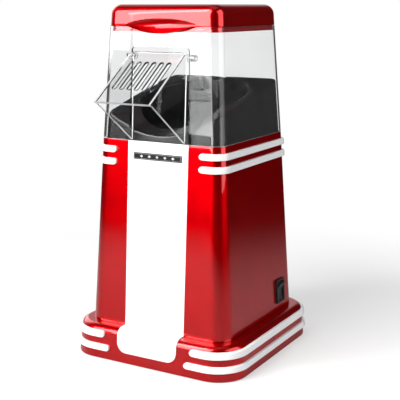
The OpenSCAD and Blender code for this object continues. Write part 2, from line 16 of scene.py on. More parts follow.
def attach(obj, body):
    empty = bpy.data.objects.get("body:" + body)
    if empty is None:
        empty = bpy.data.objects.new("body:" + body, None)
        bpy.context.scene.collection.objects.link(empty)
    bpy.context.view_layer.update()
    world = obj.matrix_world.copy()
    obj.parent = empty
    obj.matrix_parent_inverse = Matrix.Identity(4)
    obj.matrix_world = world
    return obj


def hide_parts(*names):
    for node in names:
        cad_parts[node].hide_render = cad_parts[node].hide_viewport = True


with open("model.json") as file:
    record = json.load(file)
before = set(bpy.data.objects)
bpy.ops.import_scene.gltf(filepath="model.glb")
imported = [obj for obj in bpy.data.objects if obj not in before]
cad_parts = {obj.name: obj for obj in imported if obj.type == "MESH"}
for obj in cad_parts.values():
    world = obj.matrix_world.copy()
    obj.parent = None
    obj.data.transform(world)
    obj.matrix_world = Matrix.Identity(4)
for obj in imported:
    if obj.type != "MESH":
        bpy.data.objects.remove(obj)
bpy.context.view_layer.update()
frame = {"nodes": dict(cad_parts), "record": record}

MM = 0.001
SINK = 0.2  # how deep a trim piece sits in what it is fixed to

# ---- sizes shared with the CAD source ----

PLINTH_HALF = 81.5
PLINTH_H = 28.9
PLINTH_CORNER = 26.0
PLINTH_FILLET = 6.4
PLINTH_DRAFT = 0.07
PLINTH_OPEN_HALF = 60.0
PLINTH_OPEN_CORNER = 30.0
BASE_SCREW_AT = 66.0
BASE_SCREW_R = 1.45
BOSS_R = 4.0
BASE_TOP = 4.0

TOWER_BOTTOM_HALF = 68.5
TOWER_TOP_HALF = 59.25
TOWER_TOP = 189.0
BOTTOM_CORNER = 15.0
TOP_CORNER = 10.0
WALL = 2.5

STRIPE_HALF = 29.3
STRIPE_T = 1.5
STRIPE_GAP = 0.1
PANEL_T = 1.0
PANEL_BOTTOM = 9.2
PANEL_CORNER = 9.0

# Bands: bottom, top and half the gap at the front
BAND_T = 2.3
PLINTH_BANDS = {"plinth_lower_band": (7.7, 13.0, 37.5), "plinth_upper_band": (19.1, 25.0, 42.5)}
BODY_BANDS = {"body_lower_band": (167.5, 173.0, 40.2), "body_upper_band": (178.0, 183.4, 40.2)}

SHELF_TOP = 183.5
SHELF_HOLE_R = 51.0

BADGE_HALF = 23.3
BADGE_BOTTOM = 174.0
BADGE_H = 5.6
BADGE_T = 0.8

COVER_BOTTOM = 189.2
COVER_TOP = 282.3
COVER_WALL = 2.0
OPENING_HALF = 29.5
OPENING_TAPER = 2.0
OPENING_TOP = 266.0
OPENING_CORNER = 3.0
PIVOT_Y = -52.5
PIVOT_Z = 258.0
EAR_R = 2.7
EAR_W = 5.0
EAR_OVERLAP = 1.3  # how far an ear reaches into the opening
PIN_HOLE_R = 1.45
PIN_HOLE_END = 31.9
FLAP_SLOPE = 34.7
FLAP_SLOTS_HALF = 21.0
FLAP_INNER_HALF = 24.5

LID_BOTTOM = 282.5
LID_TOP = 300.0
LID_FILLET = 8.5
LID_WALL = 2.6
PLUG_BOTTOM = 278.2
PLUG_INSET = 2.4
PLUG_T = 2.0
TAB_HALF = 35.0
TAB_BOTTOM = 277.0
TAB_CREASE = 283.0
TAB_TOP = 289.0
TAB_OUT = 5.3
TAB_TUCK = 0.3
TAB_T = 3.2
TAB_HOOK = 4.0

HOOD_GAP = 2.9
HOOD_WALL = 2.2
HOOD_MEAN_HALF = 56.0
MOUTH_R = 46.0
MOUTH_BOTTOM = 186.5
DECK_MID_Z = 223.4
DECK_RISE = 0.235
TROUGH_MID_Z = 217.2
TROUGH_RISE = 0.39
TROUGH_R = 98.0
LIP_HALF = 29.0
LIP_BOTTOM = 189.3

SWITCH_Y = 36.4
SWITCH_Z = 47.0
SWITCH_HOLE = (12.9, 19.1)
GLAND_Z = 42.0
GLAND_R = 5.6


def tower_half(z):
    """Half the tower's width at height z."""
    slope = (TOWER_BOTTOM_HALF - TOWER_TOP_HALF) / (TOWER_TOP - PLINTH_H)
    return TOWER_BOTTOM_HALF - slope * (z - PLINTH_H)


def tower_corner(z):
    """The tower's corner radius at height z."""
    slope = (BOTTOM_CORNER - TOP_CORNER) / (TOWER_TOP - PLINTH_H)
    return max(TOP_CORNER, BOTTOM_CORNER - slope * (z - PLINTH_H))


def tower_skin(z, out=0.0):
    """(half width, corner radius) of the tower's outside at height z, moved out."""
    return tower_half(z) + out, tower_corner(z) + out


def plinth_skin(z, out=0.0):
    """(half width, corner radius) of the plinth's outside at height z, moved out, its fillet included."""
    straight_top = PLINTH_H - PLINTH_FILLET
    half = PLINTH_HALF - PLINTH_DRAFT * min(z, straight_top) + out
    corner = PLINTH_CORNER + out
    if z > straight_top:
        r = PLINTH_FILLET + out
        inset = r - math.sqrt(max(0.0, r * r - (z - straight_top) ** 2))
        half, corner = half - inset, corner - inset
    return half, corner


# ---- mesh making ----

STRAIGHT_STEPS = 8
CORNER_STEPS = 14
EDGE_R = 0.6  # a moulding's softened edge: its radius, and the inset of a ring midway round it
EDGE_MID = 0.17
SAME_POINT = 2e-6  # metres
NO_LENGTH = 1e-6


def path_point(segment, t, half, corner, front):
    """A point of a rounded square's outline. Segment 0 starts at x = front on the front face, 1, 3, 5 and 7
    are the corners counter-clockwise, and 8 ends at x = -front."""
    c = half - corner
    if segment in (1, 3, 5, 7):
        angle = math.radians(-90 + 90 * ((segment - 1) // 2) + 90 * t)
        centre = {1: (c, -c), 3: (c, c), 5: (-c, c), 7: (-c, -c)}[segment]
        return centre[0] + corner * math.cos(angle), centre[1] + corner * math.sin(angle)
    if segment == 0:
        return front + (c - front) * t, -half
    if segment == 2:
        return half, -c + 2 * c * t
    if segment == 4:
        return c - 2 * c * t, half
    if segment == 6:
        return -half, c - 2 * c * t
    return -c + (c - front) * t, -half


def path_steps(end):
    """The (segment, t) pairs that sample an outline. end adds its last point."""
    steps = []
    for segment in range(9):
        n = STRAIGHT_STEPS if segment % 2 == 0 else CORNER_STEPS
        steps += [(segment, i / n) for i in range(n)]
    return steps + [(8, 1.0)] if end else steps


def ring(half, corner, z):
    """A closed rounded square at height z."""
    return [(*path_point(s, t, half, corner, 0.0), z) for s, t in path_steps(end=False)]


def notched_ring(half, corner, z, front, depth):
    """A closed rounded square at height z with a notch in its front face."""
    points = [(*path_point(s, t, half, corner, front), z) for s, t in path_steps(end=True)]
    return points + [(-front, -half + depth, z), (front, -half + depth, z)]


def circle_ring(r, z):
    """A circle with as many points as ring() has, each in line with its partner on the hood's outline."""
    points = []
    for s, t in path_steps(end=False):
        x, y = path_point(s, t, HOOD_MEAN_HALF, TOP_CORNER, 0.0)
        d = math.hypot(x, y)
        points.append((x / d * r, y / d * r, z))
    return points


def arc(r, a0, a1, n):
    """(r cos a, r sin a) at n + 1 angles from a0 to a1 degrees."""
    angles = [math.radians(a0 + (a1 - a0) * i / n) for i in range(n + 1)]
    return [(r * math.cos(a), r * math.sin(a)) for a in angles]


def edge_steps(z, up):
    """(inset, height) of the rings that soften an outer edge which ends at z. up is 1 for an edge at the top
    and -1 for one at the bottom."""
    return [(0.0, z - up * EDGE_R), (EDGE_MID, z - up * EDGE_MID), (EDGE_R, z)]


def round_outline(r, n):
    """A circle's n points."""
    return arc(r, 0, 360, n)[:-1]


class Shape:
    """The vertices and faces of one piece, in millimetres."""

    def __init__(self):
        self.verts = []
        self.faces = []

    def loft(self, rings, wrap=False, caps=False):
        """Joins rings of equal length. wrap joins the last to the first, and caps closes both ends."""
        n, m, base = len(rings[0]), len(rings), len(self.verts)
        for points in rings:
            self.verts += points
        for i in range(m if wrap else m - 1):
            a, b = base + i * n, base + (i + 1) % m * n
            for k in range(n):
                after = (k + 1) % n
                self.faces.append((a + k, a + after, b + after, b + k))
        if caps:
            self.faces.append(tuple(range(base, base + n))[::-1])
            self.faces.append(tuple(range(base + (m - 1) * n, base + m * n)))
        return self

    def prism(self, outline, place, d0, d1):
        """Extrudes an outline between two depths. place(u, v, depth) gives a point."""
        return self.loft([[place(u, v, d) for u, v in outline] for d in (d0, d1)], caps=True)

    def tube(self, centre, r_out, r_in, z0, z1):
        """An upright tube."""
        def circle(r, z):
            return [(centre[0] + x, centre[1] + y, z) for x, y in round_outline(r, 32)]

        rings = [circle(r_out, z0), circle(r_out, z1), circle(r_in, z1), circle(r_in, z0)]
        return self.loft(rings, wrap=True)

    def mesh(self, name):
        mesh = bpy.data.meshes.new(name)
        mesh.from_pydata([Vector(v) * MM for v in self.verts], [], self.faces)
        clean(mesh)
        return mesh


def add_object(name, data):
    """A new object in the scene."""
    o = bpy.data.objects.new(name, data)
    bpy.context.scene.collection.objects.link(o)
    return o


def clean(mesh):
    """Merges doubled points, drops faces with no area and turns the normals outwards."""
    bm = bmesh.new()
    bm.from_mesh(mesh)
    bmesh.ops.remove_doubles(bm, verts=bm.verts, dist=SAME_POINT)
    bmesh.ops.dissolve_degenerate(bm, edges=bm.edges, dist=NO_LENGTH)
    bmesh.ops.recalc_face_normals(bm, faces=bm.faces)
    bm.to_mesh(mesh)
    bm.free()


def from_cad(node):
    """A copy of a CAD node's mesh with its flat faces whole again, as the start of a new piece."""
    mesh = frame["nodes"][node].data.copy()
    mesh.materials.clear()
    bm = bmesh.new()
    bm.from_mesh(mesh)
    bmesh.ops.remove_doubles(bm, verts=bm.verts, dist=SAME_POINT)
    bmesh.ops.dissolve_limit(bm, angle_limit=math.radians(1), verts=bm.verts, edges=bm.edges)
    bmesh.ops.recalc_face_normals(bm, faces=bm.faces)
    bm.to_mesh(mesh)
    bm.free()
    for name in [a.name for a in mesh.attributes if a.name == "custom_normal"]:
        mesh.attributes.remove(mesh.attributes[name])
    return mesh


def boolean(mesh, other, operation):
    """mesh joined with or cut by another mesh."""
    a = add_object("boolean_a", mesh)
    b = add_object("boolean_b", other)
    m = a.modifiers.new("boolean", "BOOLEAN")
    m.object, m.operation, m.solver = b, operation, "EXACT"
    graph = bpy.context.evaluated_depsgraph_get()
    made = bpy.data.meshes.new_from_object(a.evaluated_get(graph))
    bpy.data.objects.remove(a)
    bpy.data.objects.remove(b)
    clean(made)
    return made


def piece(name, mesh, body, slot, replaces=(), finish=None, bevel=0.0, sharp=35.0, edge_test=None):
    """Adds a finished piece that rides on a CAD body, in its slot's finish if no other is given. bevel rounds
    its edges, in millimetres, and sharp is the angle from which an edge counts. edge_test looks at a face's
    centre, in millimetres, and its normal, and says whether it gets the clear plastic's whitish edge finish,
    a painted highlight."""
    mesh.materials.clear()
    mesh.materials.append(finish or SLOT_FINISH[slot])
    # the second material paints a whitish highlight on the faces that edge_test picks
    if edge_test:
        mesh.materials.append(CLEAR_EDGE_HIGHLIGHT)
        for face in mesh.polygons:
            face.material_index = int(edge_test(face.center / MM, face.normal))
    mesh.shade_smooth()
    o = add_object(name, mesh)
    soften(o, bevel, sharp)
    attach(o, body)
    if replaces:
        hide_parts(*replaces)


def soften(o, bevel, sharp):
    """Rounds an object's edges a little and lets its flat faces lead the shading."""
    if bevel:
        m = o.modifiers.new("edges", "BEVEL")
        m.width, m.segments = bevel * MM, 2
        m.limit_method, m.angle_limit = "ANGLE", math.radians(sharp)
        m.use_clamp_overlap = True
    else:
        o.data.set_sharp_from_angle(angle=math.radians(sharp))
    m = o.modifiers.new("normals", "WEIGHTED_NORMAL")
    m.keep_sharp, m.weight = True, 100


# ---- materials ----

SPECK_SCALE = 2600.0
SMUDGE_SCALE = 60.0


def map_range(nodes, links, source, start, stop, low, high, course="LINEAR"):
    """source turned from low to high between start and stop."""
    n = nodes.new("ShaderNodeMapRange")
    n.interpolation_type = course
    for socket, value in (("From Min", start), ("From Max", stop), ("To Min", low), ("To Max", high)):
        n.inputs[socket].default_value = value
    links.new(source, n.inputs["Value"])
    return n.outputs["Result"]


def mix_shaders(nodes, links, factor, a, b):
    """Shader a where factor is 0 and b where it is 1."""
    n = nodes.new("ShaderNodeMixShader")
    links.new(factor, n.inputs["Fac"])
    links.new(a, n.inputs[1])
    links.new(b, n.inputs[2])
    return n.outputs[0]


def material(name, colour, second, rough, bump=(900.0, 0.004), patch=25.0, speck=0.0, **sockets):
    """A procedural finish. colour and second mix in soft patches, and speck adds fine grains of second. rough
    is the range that smudges move the roughness through, and bump is a grain's scale and height in mm."""
    mat = bpy.data.materials.new(name)
    mat.use_nodes = True
    nodes, links = mat.node_tree.nodes, mat.node_tree.links
    shader = nodes["Principled BSDF"]
    where = nodes.new("ShaderNodeTexCoord")

    def noise(scale, detail):
        n = nodes.new("ShaderNodeTexNoise")
        n.inputs["Scale"].default_value = scale
        n.inputs["Detail"].default_value = detail
        links.new(where.outputs["Object"], n.inputs["Vector"])
        return n.outputs["Fac"]

    def spread(source, low, high, start=0.35, stop=0.65):
        return map_range(nodes, links, source, start, stop, low, high)

    share = spread(noise(patch, 3.0), 0.0, 1.0 - speck)
    if speck:
        add = nodes.new("ShaderNodeMath")
        add.operation = "ADD"
        links.new(share, add.inputs[0])
        links.new(spread(noise(SPECK_SCALE, 1.0), 0.0, speck, 0.4, 0.6), add.inputs[1])
        share = add.outputs[0]
    mix = nodes.new("ShaderNodeMix")
    mix.data_type = "RGBA"
    mix.inputs["A"].default_value = (*colour, 1)
    mix.inputs["B"].default_value = (*second, 1)
    links.new(share, mix.inputs["Factor"])
    links.new(mix.outputs["Result"], shader.inputs["Base Color"])
    links.new(spread(noise(SMUDGE_SCALE, 4.0), *rough), shader.inputs["Roughness"])
    grain = nodes.new("ShaderNodeBump")
    grain.inputs["Distance"].default_value = bump[1] * MM
    links.new(noise(bump[0], 2.0), grain.inputs["Height"])
    links.new(grain.outputs["Normal"], shader.inputs["Normal"])
    for socket, value in sockets.items():
        shader.inputs[socket.replace("_", " ")].default_value = value
    return mat


def clear_material(name, tint, rough):
    """Clear plastic: it bends and mirrors light, and lets lamps through to what stands behind it."""
    second = tuple(0.97 * c for c in tint)
    mat = material(name, tint, second, rough, bump=(300.0, 0.001), Transmission_Weight=1.0, IOR=1.34)
    nodes, links = mat.node_tree.nodes, mat.node_tree.links
    lamp = nodes.new("ShaderNodeLightPath").outputs["Is Shadow Ray"]
    through = nodes.new("ShaderNodeBsdfTransparent")
    through.inputs["Color"].default_value = (0.9, 0.9, 0.9, 1)
    plastic = nodes["Principled BSDF"].outputs["BSDF"]
    both = mix_shaders(nodes, links, lamp, plastic, through.outputs["BSDF"])
    links.new(both, nodes["Material Output"].inputs["Surface"])
    return mat


RED = material(
    "pearl_red", (0.60, 0.0, 0.002), (0.52, 0.0, 0.002), (0.28, 0.33), bump=(260.0, 0.0015), speck=0.3,
    Metallic=0.9, Specular_IOR_Level=0.0, Coat_Weight=1.0, Coat_Roughness=0.02, Coat_IOR=1.5,
)
WHITE = material(
    "gloss_white", (0.86, 0.86, 0.87), (0.83, 0.83, 0.84), (0.16, 0.24), Coat_Weight=0.5, Coat_Roughness=0.04
)
HOOD_BLACK = material(
    "hood_black", (0.007, 0.007, 0.0075), (0.011, 0.011, 0.0115), (0.13, 0.19), bump=(500.0, 0.002)
)
PLASTIC_BLACK = material(
    "plastic_black", (0.024, 0.024, 0.025), (0.036, 0.036, 0.037), (0.42, 0.55), bump=(1100.0, 0.02)
)
SWITCH_BLACK = material("switch_black", (0.012, 0.012, 0.013), (0.02, 0.02, 0.02), (0.3, 0.4))
BADGE_BLACK = material(
    "badge_black", (0.004, 0.004, 0.004), (0.007, 0.007, 0.007), (0.45, 0.55), Specular_IOR_Level=0.2
)
BADGE_LINE = material("badge_line", (0.5, 0.5, 0.51), (0.42, 0.42, 0.44), (0.3, 0.4))
RUBBER = material("rubber", (0.02, 0.02, 0.02), (0.035, 0.034, 0.033), (0.7, 0.85), bump=(1400.0, 0.04))
STEEL = material(
    "steel", (0.62, 0.62, 0.63), (0.5, 0.5, 0.52), (0.29, 0.4), bump=(2000.0, 0.01), Metallic=1.0
)
SHEET = material("steel_sheet", (0.55, 0.55, 0.56), (0.42, 0.43, 0.45), (0.3, 0.5), patch=45.0, Metallic=1.0)
ALUMINIUM = material(
    "aluminium", (0.78, 0.78, 0.79), (0.66, 0.66, 0.68), (0.29, 0.38), patch=40.0, Metallic=1.0
)
BRASS = material("brass", (0.70, 0.50, 0.22), (0.58, 0.40, 0.18), (0.29, 0.4), Metallic=1.0)
WIRE = material("heater_wire", (0.30, 0.26, 0.24), (0.42, 0.30, 0.22), (0.4, 0.6), patch=120.0, Metallic=1.0)
MICA = material("mica", (0.55, 0.47, 0.32), (0.42, 0.35, 0.24), (0.35, 0.6), patch=90.0, bump=(500.0, 0.03))
BOARD = material("circuit_board", (0.02, 0.14, 0.06), (0.03, 0.18, 0.08), (0.3, 0.45), patch=200.0)
CLEAR = clear_material("clear_plastic", (0.99, 0.992, 0.994), (0.0, 0.02))
# Painted highlight: the clear plastic's edges and rims get this whitish, partly opaque finish, which paints
# the bright lines that light makes along them
CLEAR_EDGE_HIGHLIGHT = material(
    "clear_edge_painted_highlight", (0.74, 0.75, 0.76), (0.66, 0.67, 0.68), (0.12, 0.22), Transmission_Weight=0.45, IOR=1.4
)

SLOT_FINISH = {
    "black_plastic": PLASTIC_BLACK, "rubber": RUBBER, "steel": STEEL, "steel_sheet": SHEET,
    "aluminium": ALUMINIUM, "brass": BRASS, "heater_wire": WIRE, "mica": MICA, "circuit_board": BOARD,
    "red_gloss": RED, "white_gloss": WHITE, "black_hood": HOOD_BLACK, "badge_black": BADGE_BLACK,
    "switch_black": SWITCH_BLACK, "clear_plastic": CLEAR,
}


# ---- plinth ----


def make_plinth():
    straight_top = PLINTH_H - PLINTH_FILLET
    foot_edge = [(0.5, 0.0), (0.15, 0.15), (0.0, 0.5)]  # inset and height
    rings = [ring(*(v - inset for v in plinth_skin(z)), z) for inset, z in foot_edge]
    rings += [ring(*plinth_skin(z), z) for z in (8.0, 15.0, straight_top)]
    for _, rise in arc(PLINTH_FILLET, 0, 90, 12)[1:]:
        rings.append(ring(*plinth_skin(straight_top + rise), straight_top + rise))
    rings.append(ring(70.0, 22.0, PLINTH_H))  # on the flat top, between its fillet and its opening
    rings.append(ring(PLINTH_OPEN_HALF, PLINTH_OPEN_CORNER, PLINTH_H))
    rings.append(ring(PLINTH_OPEN_HALF, PLINTH_OPEN_CORNER, PLINTH_H - WALL))
    half, corner = plinth_skin(straight_top, -WALL)
    inner_r = PLINTH_FILLET - WALL
    for run, rise in arc(inner_r, 90, 0, 6):
        inset = inner_r - run
        rings.append(ring(half - inset, corner - inset, straight_top + rise))
    rings.append(ring(*plinth_skin(0.0, -WALL), 0.0))
    shape = Shape().loft(rings, wrap=True)
    for x in (-BASE_SCREW_AT, BASE_SCREW_AT):
        for y in (-BASE_SCREW_AT, BASE_SCREW_AT):
            shape.tube((x, y), BOSS_R, BASE_SCREW_R, BASE_TOP, PLINTH_H - 1)
    piece("plinth_shell", shape.mesh("plinth_shell"), "base", "red_gloss", ["plinth"])


def make_plinth_panel():
    """The white panel's foot: it climbs the plinth's front and lies back on its top to the tower."""
    steps = 12
    straight_top = PLINTH_H - PLINTH_FILLET
    heights = [PANEL_BOTTOM + PANEL_CORNER * i / steps for i in range(steps + 1)] + [20.0, straight_top]
    profile = [(-plinth_skin(z)[0], z, 0.0) for z in heights]
    centre_y = -plinth_skin(straight_top)[0] + PLINTH_FILLET
    for run, rise in arc(PLINTH_FILLET, 0, 90, 10)[1:]:
        profile.append((centre_y - run, straight_top + rise, math.degrees(math.atan2(rise, run))))
    profile.append((-TOWER_BOTTOM_HALF + STRIPE_T, PLINTH_H, 90.0))

    def row(y, z, tilt, out):
        up = z - PANEL_BOTTOM
        half = STRIPE_HALF
        if up < PANEL_CORNER and tilt == 0.0:
            half += math.sqrt(max(0.0, PANEL_CORNER**2 - (PANEL_CORNER - up) ** 2)) - PANEL_CORNER
        a = math.radians(tilt)
        y, z = y - out * math.cos(a), z + out * math.sin(a)
        return [(half * (2 * i / steps - 1), y, z) for i in range(steps + 1)]

    rings = [row(*point, PANEL_T) + row(*point, -SINK)[::-1] for point in profile]
    mesh = Shape().loft(rings, caps=True).mesh("panel_foot")
    piece("panel_foot", mesh, "base", "white_gloss", ["plinth_front_panel"], bevel=0.35)


def make_band(name, at, skin):
    """A white band round the plinth or the tower, with half-round ends at the front."""
    bottom, top, gap = at
    middle, r = (bottom + top) / 2, (top - bottom) / 2
    edge = 0.7
    stations = [(segment, t, r, gap + r) for segment, t in path_steps(end=True)]
    ends = [(r * math.sin(a), gap + r - r * math.cos(a)) for a in map(math.radians, range(12, 78, 13))]
    stations = [(0, 0.0, h, x) for h, x in ends] + stations + [(8, 1.0, h, x) for h, x in reversed(ends)]
    sections = []
    for segment, t, h, front in stations:
        e = min(edge, h * 0.8)
        section = [(-SINK, -h), (BAND_T - e, -h)]
        section += [(BAND_T - e + run, -h + e - rise) for run, rise in arc(e, 90, 0, 3)[1:]]
        section += [(BAND_T - e + run, h - e + rise) for run, rise in arc(e, 0, 90, 3)]
        section += [(-SINK, h)]
        points = []
        for out, dz in section:
            half, corner = skin(middle + dz, out)
            points.append((*path_point(segment, t, half, corner, front), middle + dz))
        sections.append(points)
    mesh = Shape().loft(sections, caps=True).mesh(name)
    piece(name + "_trim", mesh, "base", "white_gloss", [name])


# ---- tower ----


def make_body():
    """The tower's shell, with a recess for the white panel and holes for the switch and the cord gland."""
    front = STRIPE_HALF + STRIPE_GAP
    rings = []
    for inset, z in [(0.4, PLINTH_H), (0.1, PLINTH_H + 0.2), (0.0, PLINTH_H + 0.6)]:
        rings.append(notched_ring(*tower_skin(z, -inset), z, front, STRIPE_T))
    for i in range(1, 12):
        z = PLINTH_H + (TOWER_TOP - PLINTH_H) * i / 12
        rings.append(notched_ring(*tower_skin(z), z, front, STRIPE_T))
    for inset, z in edge_steps(TOWER_TOP, 1):
        rings.append(notched_ring(*tower_skin(z, -inset), z, front, STRIPE_T - inset))
    # the inside has no notch: its two points lie on the wall, a hair off it, so that they stay apart
    hair = 0.001
    for z in (TOWER_TOP, SHELF_TOP, SHELF_TOP - WALL, 100.0, PLINTH_H):
        points = notched_ring(*tower_skin(z, -WALL), z, front, 0.0)
        y = points[-1][1] + hair
        rings.append(points[:-2] + [(-front * 0.7, y, z), (front * 0.7, y, z)])
    mesh = Shape().loft(rings, wrap=True).mesh("tower")

    cut = 8  # how far a hole's cutter reaches to each side of the wall's outside
    lean = math.atan((TOWER_BOTTOM_HALF - TOWER_TOP_HALF) / (TOWER_TOP - PLINTH_H))
    side = Matrix.Translation((tower_half(SWITCH_Z), SWITCH_Y, SWITCH_Z)) @ Matrix.Rotation(-lean, 4, "Y")
    w, h = SWITCH_HOLE
    corners = [(-w / 2, -h / 2), (w / 2, -h / 2), (w / 2, h / 2), (-w / 2, h / 2)]
    hole = Shape().prism(corners, lambda u, v, d: tuple(side @ Vector((d, u, v))), -cut, cut)
    mesh = boolean(mesh, hole.mesh("hole"), "DIFFERENCE")
    back = tower_half(GLAND_Z)
    hole = Shape().prism(round_outline(GLAND_R, 40), lambda u, v, d: (u, back + d, GLAND_Z + v), -cut, cut)
    mesh = boolean(mesh, hole.mesh("hole"), "DIFFERENCE")
    piece("tower_shell", mesh, "base", "red_gloss", ["body_shell"])


def make_shelf():
    """The shelf in the tower's top that carries the chamber and the hood."""
    rings = [ring(*tower_skin(z, SINK - WALL), z) for z in (SHELF_TOP - WALL, SHELF_TOP)]
    rings += [circle_ring(SHELF_HOLE_R, z) for z in (SHELF_TOP, SHELF_TOP - WALL)]
    mesh = Shape().loft(rings, wrap=True).mesh("tower_shelf")
    piece("tower_shelf", mesh, "base", "red_gloss")


def make_front_panel():
    """The tower's white panel, flush in its recess, with softly rounded long edges."""
    e = 0.45
    section = [(-STRIPE_HALF, -STRIPE_T)]
    section += [(-STRIPE_HALF + e - run, -e + rise) for run, rise in arc(e, 0, 90, 4)]
    section += [(x, 0.0) for x in (-15.0, 0.0, 15.0)]
    section += [(STRIPE_HALF - e + run, -e + rise) for run, rise in arc(e, 90, 0, 4)]
    section += [(STRIPE_HALF, -STRIPE_T)]
    heights = [PLINTH_H + (TOWER_TOP - PLINTH_H) * i / 8 for i in range(9)]
    rings = [[on_front(x, z, out) for x, out in section] for z in heights]
    mesh = Shape().loft(rings, caps=True).mesh("front_stripe")
    piece("front_stripe", mesh, "base", "white_gloss", ["front_panel"])


def on_front(x, z, out):
    """A point on the tower's front face, out from it."""
    return x, -tower_half(z) - out, z


def make_badge():
    """A plain black badge: a thin border and five diamonds."""
    w, z0, z1 = BADGE_HALF, BADGE_BOTTOM, BADGE_BOTTOM + BADGE_H
    plate = Shape().prism([(-w, z0), (w, z0), (w, z1), (-w, z1)], on_front, -SINK, BADGE_T)
    piece("badge_plate", plate.mesh("badge_plate"), "base", "badge_black", ["badge"], bevel=0.3)

    margin, thick = 0.7, 0.16
    sunk, proud = BADGE_T - 0.1, BADGE_T + 0.08

    def border(inset, out):
        a, b, c = w - inset, z0 + inset, z1 - inset
        return [on_front(x, z, out) for x, z in [(-a, b), (a, b), (a, c), (-a, c)]]

    corners = [(margin, sunk), (margin, proud), (margin + thick, proud), (margin + thick, sunk)]
    lines = Shape().loft([border(*corner) for corner in corners], wrap=True)
    middle = (z0 + z1) / 2
    pitch, half_w, half_h = 7.6, 1.5, 1.15
    for i in range(5):
        x = (i - 2) * pitch
        diamond = [(x - half_w, middle), (x, middle - half_h), (x + half_w, middle), (x, middle + half_h)]
        lines.prism(diamond, on_front, sunk, proud)
    piece("badge_pattern", lines.mesh("badge_pattern"), "base", "white_gloss", finish=BADGE_LINE)


# ---- hood ----


def hood_top(x, y):
    """Height of the hood's deck, with its trough and the soft edge between them."""
    tilt = math.atan(TROUGH_RISE)
    deck = DECK_MID_Z + DECK_RISE * y
    trough = TROUGH_MID_Z + TROUGH_RISE * y + (TROUGH_R - math.sqrt(TROUGH_R**2 - x * x)) / math.cos(tilt)
    soft = 2.5
    blend = max(soft - abs(deck - trough), 0.0) / soft
    return min(deck, trough) - blend * blend * soft / 4


def hood_outline(inset):
    """The deck's outer edge, moved in. A point's height sets its place on the drafted side and its place sets
    its height, so the two settle in a few rounds."""
    points = []
    for s, t in path_steps(end=False):
        z = 210.0  # a first guess
        for _ in range(4):
            x, y = path_point(s, t, *tower_skin(z, -HOOD_GAP - inset), 0.0)
            z = hood_top(x, y)
        points.append((x, y, z))
    return points


def hood_mouth(r):
    """A round line on the deck, about the mouth's middle."""
    return [(x, y, hood_top(x, y)) for x, y, _ in circle_ring(r, 0.0)]


def on_deck(a, b, t, drop=0.0):
    """The line on the deck that lies at t of the way from line a to line b, dropped."""
    points = []
    for (xa, ya, _), (xb, yb, _) in zip(a, b):
        x, y = xa + (xb - xa) * t, ya + (yb - ya) * t
        points.append((x, y, hood_top(x, y) - drop))
    return points


def make_hood():
    rim, brow = 1.3, 1.6  # radii of the mouth's and the outer edge
    rings = [circle_ring(MOUTH_R, MOUTH_BOTTOM)]
    for run, rise in arc(rim, 180, 90, 5):
        rings.append([(x, y, z - rim + rise) for x, y, z in hood_mouth(MOUTH_R + rim + run)])
    start, stop = hood_mouth(MOUTH_R + rim), hood_outline(brow)
    steps = 14
    rings += [on_deck(start, stop, i / steps) for i in range(1, steps + 1)]
    for run, rise in arc(brow, 90, 0, 5)[1:]:
        rings.append([(x, y, z - brow + rise) for x, y, z in hood_outline(brow - run)])
    rings.append(ring(*tower_skin(SHELF_TOP, -HOOD_GAP), SHELF_TOP))
    rings.append(ring(*tower_skin(SHELF_TOP, -HOOD_GAP - HOOD_WALL), SHELF_TOP))
    under_brow = HOOD_WALL + 0.6
    inside = hood_outline(HOOD_WALL)
    rings.append([(x, y, z - under_brow) for x, y, z in inside])
    rings += [on_deck(inside, hood_mouth(MOUTH_R + HOOD_WALL), t, HOOD_WALL) for t in (0.3, 0.6, 0.99)]
    rings.append(circle_ring(MOUTH_R + HOOD_WALL, MOUTH_BOTTOM))
    shape = Shape().loft(rings, wrap=True)

    # front lip, out through the cover's opening and flush with the tower: r rounds its upper front edge, and
    # its top lies a hair proud of the deck
    depth, r, proud, steps = 6.0, 1.8, 0.03, 24
    front = -tower_half(193.0)

    def lip_section(x):
        top = hood_top(x, front + r) + proud
        section = [(-tower_half(LIP_BOTTOM), LIP_BOTTOM), (-tower_half(top - r), top - r)]
        section += [(front + r - run, top - r + rise) for run, rise in arc(r, 0, 90, 5)[1:]]
        section += [(y, hood_top(x, y) + proud) for y in (front + 3.5, front + depth)]
        section += [(front + depth, LIP_BOTTOM)]
        return [(x, y, z) for y, z in section]

    shape.loft([lip_section(LIP_HALF * (2 * i / steps - 1)) for i in range(steps + 1)], caps=True)
    piece("hood_moulding", shape.mesh("hood_moulding"), "base", "black_hood", ["hood"], sharp=50.0)


# ---- cover, flap and lid ----


